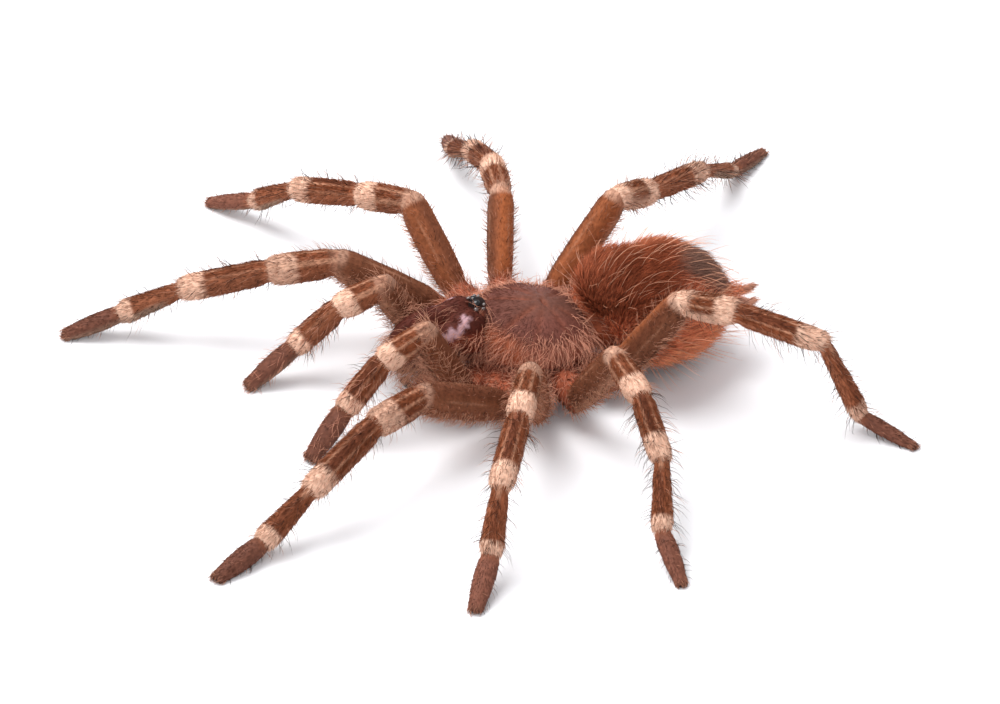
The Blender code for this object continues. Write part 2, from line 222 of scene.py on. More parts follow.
class Span:
    """One part of a limb: its line, its half width and height, and where it sits in the limb."""

    def __init__(self, limb, side, part, number, start, end, points):
        self.limb, self.side, self.part, self.number = limb, side, part, number
        self.start, self.end = start, end
        self.length = np.linalg.norm(end - start)
        self.direction = (end - start) / self.length
        self.level, self.upright = across(self.direction)
        share, off = span_place(points, start, end)
        off = off[(share > 0.02) & (share < 0.98)]
        self.half_width = np.abs(off @ self.level).max()
        self.half_height = (off @ self.upright).max()


def limb_nodes(limb, side):
    """The solids of a limb from the hip out; a leg's metatarsus and tarsus are one, its foot."""
    last = "tarsus" if limb == "palp" else "foot"
    return [f"{limb}_{side}_{name}" for name in ("femur", "patella", "tibia", last)]


def make_spans(limb, side):
    nodes = limb_nodes(limb, side)
    stops = [cut_centre(nodes[0], "underside")]
    stops += [cut_centre(a, b) for a, b in zip(nodes, nodes[1:])]
    last = node_points(nodes[-1])
    reach = (last - stops[-1]) @ unit(last.mean(axis=0) - stops[-1])
    tip = last[reach > reach.max() - TIP_REACH].mean(axis=0)
    parts = list(PARTS)
    if limb == "palp":
        parts.remove("metatarsus")
    else:
        stops.append(bend_of(last, stops[-1], tip, ANKLE_SHARE[limb]))
    stops.append(tip)
    spans = []
    for number, part in enumerate(parts):
        points = node_points(nodes[min(number, len(nodes) - 1)])
        if limb != "palp" and number >= len(nodes) - 1:
            beyond = (points - stops[-2]) @ unit(tip - stops[-3]) > 0
            points = points[beyond if part == "tarsus" else ~beyond]
        spans.append(Span(limb, side, part, number, stops[number], stops[number + 1], points))
    return spans


LIMB_SPANS = {(limb, side): make_spans(limb, side) for limb in LIMBS for side in SIDES}


def add_tube(shape, rings):
    """Adds a tube through rings of points in millimetres, closed at both ends."""
    rows = [[shape.verts.new(point * MM) for point in ring] for ring in rings]
    for row, after in zip(rows, rows[1:]):
        for i in range(len(row)):
            j = (i + 1) % len(row)
            shape.faces.new((row[i], row[j], after[j], after[i]))
    shape.faces.new(rows[0])
    shape.faces.new(rows[-1])


def limb_tube(spans):
    """One closed tube from inside the hip to the claws, narrowed at every joint."""
    angles = np.arange(RING_SIDES) * 2 * np.pi / RING_SIDES
    rings = []
    for number, span in enumerate(spans):
        before = spans[max(number - 1, 0)].direction
        after = spans[min(number + 1, len(spans) - 1)].direction
        near_plane, far_plane = unit(span.direction + before), unit(span.direction + after)
        shares, fullness = np.array(SKIN_SHAPE[span.part]).T
        steps = np.unique(np.concatenate([shares, np.linspace(0, 1, 14)]))
        for step in steps if number == 0 else steps[1:]:
            full = np.interp(step, shares, fullness)
            if (span.limb, span.part) == ("leg_4", "metatarsus"):
                full = full * REAR_SHIN_GIRTH
            wide = (span.half_width - LEG_COAT) * full
            high = (span.half_height - LEG_COAT) * full
            offset = np.outer(np.cos(angles), span.level * wide)
            offset += np.outer(np.sin(angles), span.upright * high)
            near = -(offset @ near_plane) / (span.direction @ near_plane)
            far = span.length - (offset @ far_plane) / (span.direction @ far_plane)
            ring = span.start + offset + (near + (far - near) * step)[:, None] * span.direction
            ring[:, 2] = np.maximum(ring[:, 2], 0.05)
            rings.append(ring)
    rings.insert(0, rings[0] - HIP_DEPTH * spans[0].direction)
    shape = bmesh.new()
    add_tube(shape, rings)
    return shape


def inner_copy(node, depth, smooth_levels):
    """A smoothed copy of a solid, drawn in by the depth of the coat that it reaches out to."""
    shape = bmesh.new()
    shape.from_mesh(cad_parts[node].data)
    bmesh.ops.remove_doubles(shape, verts=shape.verts, dist=1e-6)
    shape.normal_update()
    for vertex, inward in [(v, -v.normal) for v in shape.verts]:
        vertex.co += inward * depth * MM
    for _ in range(smooth_levels):
        bmesh.ops.smooth_vert(
            shape, verts=shape.verts, factor=0.5, use_axis_x=True, use_axis_y=True, use_axis_z=True
        )
    return shape


def lump(centre, radii):
    """A rounded swelling of soft skin."""
    shape = bmesh.new()
    bmesh.ops.create_uvsphere(shape, u_segments=24, v_segments=14, radius=1.0)
    bmesh.ops.scale(shape, vec=Vector(radii) * MM, verts=shape.verts)
    bmesh.ops.translate(shape, vec=Vector(centre) * MM, verts=shape.verts)
    return shape


def middle(node):
    low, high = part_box(node)
    return np.array((low + high) / 2) / MM


def corners_of(node):
    """The low and the high corner of a solid's box."""
    return [np.array(corner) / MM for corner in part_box(node)]


ABDOMEN_COAT = 0.85
BODY_COAT = 0.14
JAW_COAT = 0.08
SPINNERET_COAT = 0.06
SPINNERET_DROOP = math.radians(20)
shield_low, shield_high = corners_of("carapace")
jaw_mid = {side: middle(f"chelicera_{side}") for side in SIDES}
jaw_low, jaw_high = corners_of("chelicera_left")
abdomen_mid = middle("abdomen")
body_x = (jaw_mid["left"][0] + jaw_mid["right"][0]) / 2

skin_sources = {f"{limb}_{side}": limb_tube(spans) for (limb, side), spans in LIMB_SPANS.items()}
skin_sources["underside"] = inner_copy("underside", BODY_COAT, 0)
skin_sources["abdomen"] = inner_copy("abdomen", ABDOMEN_COAT, 3)
skin_sources["waist"] = lump((body_x - 0.2, shield_high[1] + 0.3, abdomen_mid[2] - 1.7), (3.9, 2.3, 2.1))
spinneret_mid = (middle("spinneret_left") + middle("spinneret_right")) / 2
abdomen_back = unit((spinneret_mid - abdomen_mid) * (1, 1, 0))
abdomen_left = np.cross(abdomen_back, (0, 0, 1.0))
droop = Matrix.Rotation(-SPINNERET_DROOP, 3, Vector(abdomen_left))
shoulder = abdomen_mid - abdomen_back * 3.3 + (0, 0, 1.7)
skin_sources["abdomen_shoulder"] = lump(shoulder, (3.2, 3.4, 2.8))
skin_sources["abdomen_tip"] = lump(spinneret_mid - abdomen_back * 1.7 - (0, 0, 0.3), (1.1, 1.1, 0.75))
for side, sign in SIDES.items():
    skin_sources[f"chelicera_{side}"] = inner_copy(f"chelicera_{side}", JAW_COAT, 1)
    spinneret = inner_copy(f"spinneret_{side}", SPINNERET_COAT, 0)
    corners = node_points(f"spinneret_{side}")
    spinneret_root = corners[np.argsort(np.linalg.norm(corners - abdomen_mid, axis=1))[:8]].mean(axis=0)
    bmesh.ops.rotate(spinneret, cent=Vector(spinneret_root) * MM, matrix=droop, verts=spinneret.verts)
    skin_sources[f"spinneret_{side}"] = spinneret
    jaw_root = (body_x + sign * 0.95, shield_low[1] - 0.45, jaw_high[2] - 0.95)
    skin_sources[f"chelicera_root_{side}"] = lump(jaw_root, (1.3, 1.7, 1.4))
    throat = (body_x + sign * 1.7, shield_low[1] - 0.4, jaw_mid[side][2] - 0.2)
    skin_sources[f"throat_{side}"] = lump(throat, (1.0, 1.5, 1.3))
    palp_hip = (body_x + sign * 2.35, shield_low[1] - 3.1, jaw_low[2] - 0.7)
    skin_sources[f"underside_front_{side}"] = lump(palp_hip, (1.25, 2.3, 1.4))

labels = list(skin_sources)
joined = bmesh.new()
markers, marker_labels = [], []
for number, (label, shape) in enumerate(skin_sources.items()):
    bmesh.ops.recalc_face_normals(shape, faces=shape.faces)
    bmesh.ops.triangulate(shape, faces=shape.faces)
    markers += [v.co.copy() for v in shape.verts] + [f.calc_center_median() for f in shape.faces]
    marker_labels += [number] * (len(shape.verts) + len(shape.faces))
    part_mesh = mesh_from(shape, "part_of_skin")
    joined.from_mesh(part_mesh)
    bpy.data.meshes.remove(part_mesh)
skin = put_in_scene("skin", mesh_from(joined, "skin"))


def apply_modifiers(item):
    """Replaces an object's mesh by what its modifiers make of it."""
    graph = bpy.context.evaluated_depsgraph_get()
    made = bpy.data.meshes.new_from_object(item.evaluated_get(graph))
    old = item.data
    item.modifiers.clear()
    item.data = made
    bpy.data.meshes.remove(old)
    made.name = item.name


def make_even(item, voxel, rounds):
    """Makes one closed mesh of small even faces of all that an object holds, and eases it."""
    remesh = item.modifiers.new("one_skin", "REMESH")
    remesh.mode = "VOXEL"
    remesh.voxel_size = voxel * MM
    ease = item.modifiers.new("ease", "SMOOTH")
    ease.factor = 0.5
    ease.iterations = rounds
    apply_modifiers(item)
    item.data.shade_smooth()


make_even(skin, VOXEL, 7)
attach(skin, "root")
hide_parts("underside", "abdomen", "chelicera_left", "chelicera_right")
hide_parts("spinneret_left", "spinneret_right")
for limb, side in LIMB_SPANS:
    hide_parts(*limb_nodes(limb, side))


class Surface:
    """Points, normals and triangles of a mesh as arrays in millimetres."""

    def __init__(self, mesh):
        self.points = rows_of(mesh.vertices, "co").astype(float) / MM
        self.normals = rows_of(mesh.vertices, "normal").astype(float)
        mesh.calc_loop_triangles()
        self.tris = rows_of(mesh.loop_triangles, "vertices", np.int32)


tree = KDTree(len(markers))
for i, place in enumerate(markers):
    tree.insert(place, i)
tree.balance()
skin_surface = Surface(skin.data)
skin_label = np.array([marker_labels[tree.find(v.co)[1]] for v in skin.data.vertices])


# Markings. Colours are linear, and the same rules colour the skin and every hair rooted on it.
CREAM = np.array((0.76, 0.48, 0.35))
PALE_STRIPE = np.array((0.47, 0.235, 0.145))
DARK_BROWN = np.array((0.180, 0.052, 0.022))
TOP_BROWN = np.array((0.115, 0.035, 0.018))
MID_BROWN = np.array((0.26, 0.090, 0.045))
THIGH_OLIVE = np.array((0.155, 0.055, 0.028))
THIGH_ORANGE = np.array((0.32, 0.094, 0.034))
PAD_GREY = np.array((0.27, 0.165, 0.115))
FOOT_MAUVE = np.array((0.165, 0.063, 0.041))
TIP_DARK = np.array((0.05, 0.028, 0.022))
HIP_RED = np.array((0.29, 0.078, 0.040))
SOFT_PINK = np.array((0.66, 0.30, 0.20))
THROAT_LILAC = np.array((0.56, 0.35, 0.38))
JAW_TOP = np.array((0.085, 0.022, 0.015))
JAW_SIDE = np.array((0.24, 0.050, 0.028))
FUR_DARK_RED = np.array((0.25, 0.063, 0.028))
FUR_RED = np.array((0.52, 0.142, 0.068))
FUR_ORANGE = np.array((0.74, 0.25, 0.13))
FUR_BLACK = np.array((0.205, 0.135, 0.105))
FUR_GREY = np.array((0.27, 0.14, 0.10))
SPINNERET_TAN = np.array((0.42, 0.21, 0.145))

# Where the cream ring of each part starts, as a share of its length.
RING_START = {
    "patella": by_limb(0.55, 0.56, 0.56, 0.62, 0.56),
    "tibia": by_limb(0.72, 0.71, 0.63, 0.70, 0.72),
    "metatarsus": by_limb(0.76, 0.78, 0.80, 0.80),
}
# How cream the knees are, where thigh and patella meet.
KNEE_CREAM = by_limb(0.3, 0.38, 0.45, 0.5, 0.25)
# How orange the upper and rear faces of the thighs are.
THIGH_WARMTH = by_limb(0.1, 0.45, 0.95, 0.68, 0.1)
# How light the dark hair of tibia and metatarsus is, and that of the tarsus.
SHIN_SHADE = by_limb(0.97, 1.15, 1.06, 1.3, 0.95)
FOOT_SHADE = by_limb(0.82, 1.15, 1.12, 1.0, 0.8)
# How far the top line of a limb is rolled to the front, in degrees.
ROLL = by_limb(-30, -5, 8, 36, -24)


def ease_in(low, high, x):
    """Rises smoothly from 0 at low to 1 at high."""
    t = np.clip((x - low) / (high - low), 0, 1)
    return t * t * (3 - 2 * t)


def ease_out(low, high, x):
    return 1 - ease_in(low, high, x)


def blend(first, second, weight):
    """From the first colour at weight 0 to the second at weight 1."""
    return first + (second - first) * np.asarray(weight)[..., None]


def layered(colour, *layers):
    """Lays colours over one another, each as strongly as its weight says at every point."""
    for over, weight in layers:
        colour = blend(colour, over, weight)
    return colour


def stripe(aside, at, half):
    """How much of a lengthwise stripe there is, so many degrees aside of the top line."""
    return ease_out(half * 0.5, half, np.abs(aside - at))


def limb_place(points, spans):
    """For each point: number of the nearest span, share along it, degrees round from its top."""
    found = []
    for span in spans:
        t, off = span_place(points, span.start, span.end)
        overrun = np.maximum(np.maximum(-t, t - 1), 0) * span.length
        forward = span.level * SIDES[span.side]
        round_it = np.degrees(np.arctan2(off @ forward, off @ span.upright))
        found.append((np.linalg.norm(off, axis=1) + overrun, np.clip(t, 0, 1), round_it))
    distance, share, degrees = np.array(found).transpose(1, 0, 2)
    number = distance.argmin(axis=0)
    nearest = (number, np.arange(len(points)))
    return number, share[nearest], degrees[nearest]


def femur_colour(t, degrees, limb):
    aside = np.abs(degrees)
    facing = {"leg_2": -aside, "leg_3": degrees - 22}.get(limb, degrees)
    warm = THIGH_WARMTH[limb] * ease_out(-40, 12, facing)
    middle_third = ease_in(0.25, 0.4, t) * ease_out(0.7, 0.85, t)
    tip = ease_in(0.93, 0.99, t) * (1 - 0.7 * ease_in(60, 110, aside))
    return layered(
        THIGH_OLIVE,
        (THIGH_ORANGE, warm),
        (TOP_BROWN, 0.45 * stripe(aside, 0, 34) * (1 - warm)),
        (PALE_STRIPE, 0.3 * stripe(aside, 42, 5) * middle_third),
        (PALE_STRIPE, 0.5 * ease_in(105, 150, aside)),
        (CREAM, KNEE_CREAM[limb] * tip),
    )


def patella_colour(t, degrees, limb):
    ring = RING_START["patella"][limb]
    aside = np.abs(degrees)
    colour = layered(
        DARK_BROWN,
        (MID_BROWN, ease_in(60, 120, aside)),
        (PALE_STRIPE, 0.75 * stripe(aside, 22, 8)),
        (PALE_STRIPE, 0.75 * stripe(aside, 76, 16)),
    )
    if limb == "leg_4":
        spot = ease_in(0.1, 0.26, t) * ease_out(ring, ring + 0.1, t)
        round_it = np.where(degrees > 0, degrees, -degrees * 0.42)
        return blend(CREAM, colour, spot * ease_out(38, 72, round_it))
    ring = ring + 0.07 * ease_out(15, 60, aside)
    knee = KNEE_CREAM[limb] * ease_out(0.03, 0.09, t)
    cream = np.maximum(ease_in(ring - 0.05, ring + 0.05, t), knee)
    return blend(colour, CREAM, cream * (0.62 if limb == "leg_1" else 1.0))


def tibia_colour(t, degrees, limb):
    ring = RING_START["tibia"][limb]
    aside = np.abs(degrees)
    colour = layered(
        DARK_BROWN,
        (MID_BROWN, ease_in(40, 100, aside)),
        (TOP_BROWN, 0.75 * ease_out(12, 26, aside)),
        (PALE_STRIPE, (0.35 + 0.5 * ease_in(0.2, ring, t)) * stripe(aside, 28, 7)),
        (PALE_STRIPE, 0.3 * stripe(aside, 70, 9)),
    )
    return blend(colour * SHIN_SHADE[limb], CREAM, ease_in(ring - 0.04, ring + 0.04, t) * 0.97)


def metatarsus_colour(t, degrees, limb):
    ring = RING_START["metatarsus"][limb]
    aside = np.abs(degrees)
    wedge = ease_out(0.08, 0.2, t) * ease_out(10, 28, aside)
    colour = layered(
        DARK_BROWN,
        (MID_BROWN, 0.3 + 0.7 * ease_in(30, 80, aside)),
        (TOP_BROWN, 0.5 * ease_out(12, 30, aside)),
        (PALE_STRIPE, 0.8 * wedge),
        (PAD_GREY, ease_in(105, 130, aside) * ease_in(0.15, 0.35, t)),
    )
    top = 1 - 0.55 * ease_in(110, 140, aside)
    return blend(colour * SHIN_SHADE[limb], CREAM, ease_in(ring - 0.03, ring + 0.04, t) * 0.95 * top)


def tarsus_colour(t, degrees, limb):
    colour = layered(
        FOOT_MAUVE,
        (MID_BROWN, 0.5 * ease_out(0.0, 0.2, t)),
        (PAD_GREY, 0.7 * ease_in(100, 135, np.abs(degrees))),
    )
    return blend(colour * FOOT_SHADE[limb], TIP_DARK, 0.35 * ease_in(0.9, 0.98, t))


PART_COLOUR = {
    "femur": femur_colour,
    "patella": patella_colour,
    "tibia": tibia_colour,
    "metatarsus": metatarsus_colour,
    "tarsus": tarsus_colour,
}


def limb_colour(points, limb, side, feather=None):
    """Markings of a limb; feather moves each point a little, to ruffle the edges of its marks."""
    spans = LIMB_SPANS[limb, side]
    number, share, degrees = limb_place(points, spans)
    if feather is not None:
        share = np.clip(share + feather[:, 0], 0, 1)
        degrees = (degrees + feather[:, 1] + 180) % 360 - 180
    colour = np.zeros((len(points), 3))
    for span in spans:
        here = number == span.number
        rolled = (degrees[here] - ROLL[limb] + 180) % 360 - 180
        colour[here] = PART_COLOUR[span.part](share[here], rolled, limb)
    return colour


def abdomen_place(points):
    """Each point's direction from the abdomen's middle: to the left, to the rear and up."""
    offset = unit(points - abdomen_mid)
    return offset @ abdomen_left, offset @ abdomen_back, offset[:, 2]


def abdomen_colour(points):
    left, back, up = abdomen_place(points)
    low_side = np.abs(left) * 0.7 + back * 0.45 - up * 0.9
    crest = ease_out(-0.5, -0.2, left) * ease_in(-0.1, 0.35, up) * ease_out(0.35, 0.6, back)
    front = ease_out(-0.85, -0.6, back) * ease_in(0.1, 0.45, up)
    patch = ease_in(0.1, 0.45, up) * ease_in(0.05, 0.4, back)
    patch = patch * ease_out(0.45, 0.75, np.abs(left + 0.1))
    return layered(
        FUR_RED,
        (FUR_DARK_RED, ease_out(-0.1, 0.5, back) * ease_in(-0.3, 0.2, up)),
        (FUR_ORANGE, ease_in(0.0, 0.6, low_side)),
        (FUR_ORANGE, np.maximum(0.42 * crest, 0.12 * front)),
        (FUR_BLACK, 0.85 * patch),
        (FUR_GREY, ease_in(0.55, 0.85, -up)),
    )


# Patches of thin lilac skin down the outer side of each jaw, from its root: how far aside of
# the middle, forward of the shield and above the jaw's top they are, and their radius.
THIN_SKIN = (
    (1.72, 0.68, 0.08, 0.55),
    (2.05, 0.95, -0.2, 0.5),
    (2.4, 1.5, -0.6, 0.6),
    (2.23, 2.1, -0.76, 0.65),
    (2.3, 2.8, -1.0, 0.5),
)


def thin_skin(points):
    """How much of the thin skin beside the jaws shows at each point."""
    shown = np.zeros(len(points))
    for aside, forward, above, radius in THIN_SKIN:
        for sign in SIDES.values():
            spot = (body_x + sign * aside, shield_low[1] - forward, jaw_high[2] + above)
            near = np.linalg.norm(points - spot, axis=1) + 0.12 * np.sin(points @ (9.0, 7.0, 11.0))
            shown = np.maximum(shown, 0.85 * ease_out(radius * 0.5, radius * 1.05, near))
    return shown


def jaw_colour(points):
    height = (points[:, 2] - jaw_low[2]) / (jaw_high[2] - jaw_low[2])
    front = (jaw_mid["left"][1] - points[:, 1]) / (jaw_high[1] - jaw_low[1])
    top = np.maximum(ease_in(0.55, 0.85, height), ease_in(-0.05, 0.25, front))
    return layered(JAW_SIDE, (JAW_TOP, top), (THROAT_LILAC, thin_skin(points)))


def skin_colour(points, label):
    """Markings at points of the skin that grew from one of its sources."""
    words = label.split("_")
    if label.startswith(("leg", "palp")):
        return limb_colour(points, label.rsplit("_", 1)[0], words[-1])
    if words[0] == "abdomen":
        return abdomen_colour(points)
    if words[0] == "chelicera":
        return jaw_colour(points)
    # The throat, deep between jaw and palp hip, takes the jaw's side colour darkened: painted shade of
    # that crevice.
    plain = {"underside": HIP_RED, "waist": FUR_DARK_RED, "spinneret": SPINNERET_TAN}
    return np.tile(plain.get(words[0], JAW_SIDE * 0.6), (len(points), 1))


def write_colours(mesh, colours):
    layer = mesh.color_attributes.new("coat_colour", "FLOAT_COLOR", "POINT")
    with_alpha = np.hstack([colours, np.ones((len(colours), 1))])
    layer.data.foreach_set("color", with_alpha.astype(np.float32).ravel())


skin_tint = np.zeros_like(skin_surface.points)
for number, label in enumerate(labels):
    here = skin_label == number
    skin_tint[here] = skin_colour(skin_surface.points[here], label)
write_colours(skin.data, skin_tint)


def mottle_group():
    """Breaks up a colour with fine uneven blotches, and puts out their height as well."""
    group = bpy.data.node_groups.new("mottle", "ShaderNodeTree")
    for socket, kind in (("Colour", "Color"), ("Scale", "Float"), ("Amount", "Float")):
        group.interface.new_socket(socket, in_out="INPUT", socket_type=f"NodeSocket{kind}")
    for socket, kind in (("Colour", "Color"), ("Height", "Float")):
        group.interface.new_socket(socket, in_out="OUTPUT", socket_type=f"NodeSocket{kind}")
    entry, end, place, noise, spread, times, shade = [
        group.nodes.new(kind)
        for kind in (
            "NodeGroupInput", "NodeGroupOutput", "ShaderNodeTexCoord", "ShaderNodeTexNoise",
            "ShaderNodeMapRange", "ShaderNodeMath", "ShaderNodeVectorMath",
        )
    ]
    noise.inputs["Detail"].default_value = 4.0
    spread.inputs["From Min"].default_value = 0.3
    spread.inputs["From Max"].default_value = 0.7
    spread.inputs["To Min"].default_value = -1.0
    times.operation = "MULTIPLY_ADD"
    times.inputs[2].default_value = 1.0
    shade.operation = "SCALE"
    for source, socket in (
        (place.outputs["Object"], noise.inputs["Vector"]),
        (entry.outputs["Scale"], noise.inputs["Scale"]),
        (noise.outputs["Fac"], spread.inputs["Value"]),
        (spread.outputs["Result"], times.inputs[0]),
        (entry.outputs["Amount"], times.inputs[1]),
        (entry.outputs["Colour"], shade.inputs[0]),
        (times.outputs["Value"], shade.inputs["Scale"]),
        (shade.outputs["Vector"], end.inputs["Colour"]),
        (noise.outputs["Fac"], end.inputs["Height"]),
    ):
        group.links.new(source, socket)
    return group


MOTTLE = mottle_group()


def add_mottle(material, shader, scale, amount):
    """Puts the mottle before a shader's colour, and gives its node."""
    mottle = material.node_tree.nodes.new("ShaderNodeGroup")
    mottle.node_tree = MOTTLE
    mottle.inputs["Scale"].default_value = scale
    mottle.inputs["Amount"].default_value = amount
    link(material, mottle.outputs["Colour"], shader.inputs["Base Color"])
    return mottle


def marked_material(name, roughness, scale, amount, bump=0.0):
    """A material that shows a piece's own markings, mottled, with a fine uneven surface."""
    material, shader = new_material(name, roughness, SKIN_SHINE)
    markings = material.node_tree.nodes.new("ShaderNodeAttribute")
    markings.attribute_name = "coat_colour"
    mottle = add_mottle(material, shader, scale, amount)
    link(material, markings.outputs["Color"], mottle.inputs["Colour"])
    if bump:
        relief = material.node_tree.nodes.new("ShaderNodeBump")
        relief.inputs["Strength"].default_value = bump
        relief.inputs["Distance"].default_value = RELIEF * MM
        link(material, mottle.outputs["Height"], relief.inputs["Height"])
        link(material, relief.outputs["Normal"], shader.inputs["Normal"])
    return material


SKIN_SHINE = 0.05
RELIEF = 0.1
skin.data.materials.append(marked_material("skin", 0.48, 2600.0, 0.22, 0.7))


# ---- carapace ----
# The hard shield over head and chest, one plate seated on the hips: a dome with a head lobe
# in front, a small mound for the eyes at its front edge, a pit in the middle and shallow
# furrows that run out from it.

SHIELD_COAT = 0.12
SHIELD_VOXEL = 0.14
MOUND_PLACE = (0, 0.25, -0.38)
MOUND_RADII = (0.85, 0.75, 0.5)
FURROW_DEPTH = 0.16
PIT_DEPTH = 0.35
SHIELD_MAUVE = np.array((0.142, 0.049, 0.036))
SHIELD_OLIVE = np.array((0.112, 0.050, 0.035))
SHIELD_EDGE = np.array((0.44, 0.155, 0.095))
SHIELD_ORANGE = np.array((0.46, 0.120, 0.042))
MOUND_BLACK = np.array((0.015, 0.009, 0.008))

eye_mid = (middle("eye_front_middle_left") + middle("eye_front_middle_right")) / 2
mound = mesh_from(lump(eye_mid + MOUND_PLACE, MOUND_RADII), "eye_mound")
shell = inner_copy("carapace", SHIELD_COAT, 0)
shell.from_mesh(mound)
bpy.data.meshes.remove(mound)
bmesh.ops.triangulate(shell, faces=shell.faces)
shield = put_in_scene("shield", mesh_from(shell, "shield"))
make_even(shield, SHIELD_VOXEL, 14)
shield_mid = np.array((body_x, (shield_low[1] + shield_high[1]) / 2, shield_low[2]))
shield_half = (shield_high - shield_low) / 2
# Places on the shield are shares of its half width and half length.
PIT_PLACE = (0.0, 0.22)
PIT_HALF = (0.10, 0.035)
FURROW_HALF = 0.05
# Heading of each furrow from the front, in degrees, and its depth as a share of the full one.
FURROWS = {28: 1.0, 62: 0.55, 100: 0.55, 138: 0.55}


def shield_place(points):
    """Place on the shield as seen from above: across and along, each from -1 to 1."""
    flat = points - shield_mid
    return flat[:, 0] / shield_half[0], flat[:, 1] / shield_half[1]


def from_pit(points):
    """Offset from the shield's pit on the same scale: across and along."""
    x, y = shield_place(points)
    return x - PIT_PLACE[0], y - PIT_PLACE[1]


def furrows(points):
    """How deep each point lies in the shield's pit and furrows, in millimetres."""
    x, y = from_pit(points)
    reach = np.hypot(x, y)
    heading = np.degrees(np.arctan2(np.abs(x), -y))
    depth = np.exp(-((x / PIT_HALF[0]) ** 2 + (y / PIT_HALF[1]) ** 2)) * PIT_DEPTH
    for line, strength in FURROWS.items():
        away = np.radians(heading - line) * reach
        groove = FURROW_DEPTH * strength * np.exp(-((away / FURROW_HALF) ** 2))
        depth += groove * ease_in(0.08, 0.3, reach) * ease_out(0.75, 1.0, reach)
    return depth


shield_surface = Surface(shield.data)
facing_up = shield_surface.normals[:, 2] > 0.15
press = furrows(shield_surface.points) * facing_up
pressed = shield_surface.points - shield_surface.normals * press[:, None]
shield.data.vertices.foreach_set("co", (pressed * MM).astype(np.float32).ravel())
shield.data.update()
shield_surface = Surface(shield.data)


def shield_colour(points):
    x, y = shield_place(points)
    rim = np.hypot(x, y)
    crown = ease_out(0.1, 0.55, np.abs(x)) * ease_in(-0.9, 0.2, y)
    corner = ease_in(0.08, 0.3, np.abs(x)) * ease_out(-0.6, -0.25, y) * ease_in(0.6, 0.95, rim)
    colour = layered(
        SHIELD_MAUVE,
        (SHIELD_OLIVE, 0.55 * crown),
        (SHIELD_EDGE, 0.65 * ease_in(0.72, 1.0, rim)),
        (SHIELD_ORANGE, 0.55 * corner),
        # the pit and furrows are painted a darker red by their depth: painted shade in the grooves
        (FUR_DARK_RED, 0.3 * np.clip(furrows(points) / FURROW_DEPTH, 0, 1)),
    )
    from_eyes = np.linalg.norm(points - eye_mid, axis=1)
    return blend(MOUND_BLACK, colour, ease_in(0.75, 1.3, from_eyes))


write_colours(shield.data, shield_colour(shield_surface.points))
shield.data.materials.append(marked_material("shield", 0.42, 3200.0, 0.2, 0.6))
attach(shield, "root")
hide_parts("carapace")


# ---- coat ----
# Every hair is a thin tapering spine of horn-like cuticle that grows out of the skin and leans
# along the limb or body. Short ones lie close, bristles stand, and long soft ones curl.

dice = np.random.default_rng(20)
TALLEST = 12.2
SPOT = 0.003
# Each hair's colour is darkened at its root and lightened towards its tip: painted shade near the skin
# and painted light on the tips.
ROOT_PAINTED_SHADE = 0.86
ROOT_DEPTH = 0.03


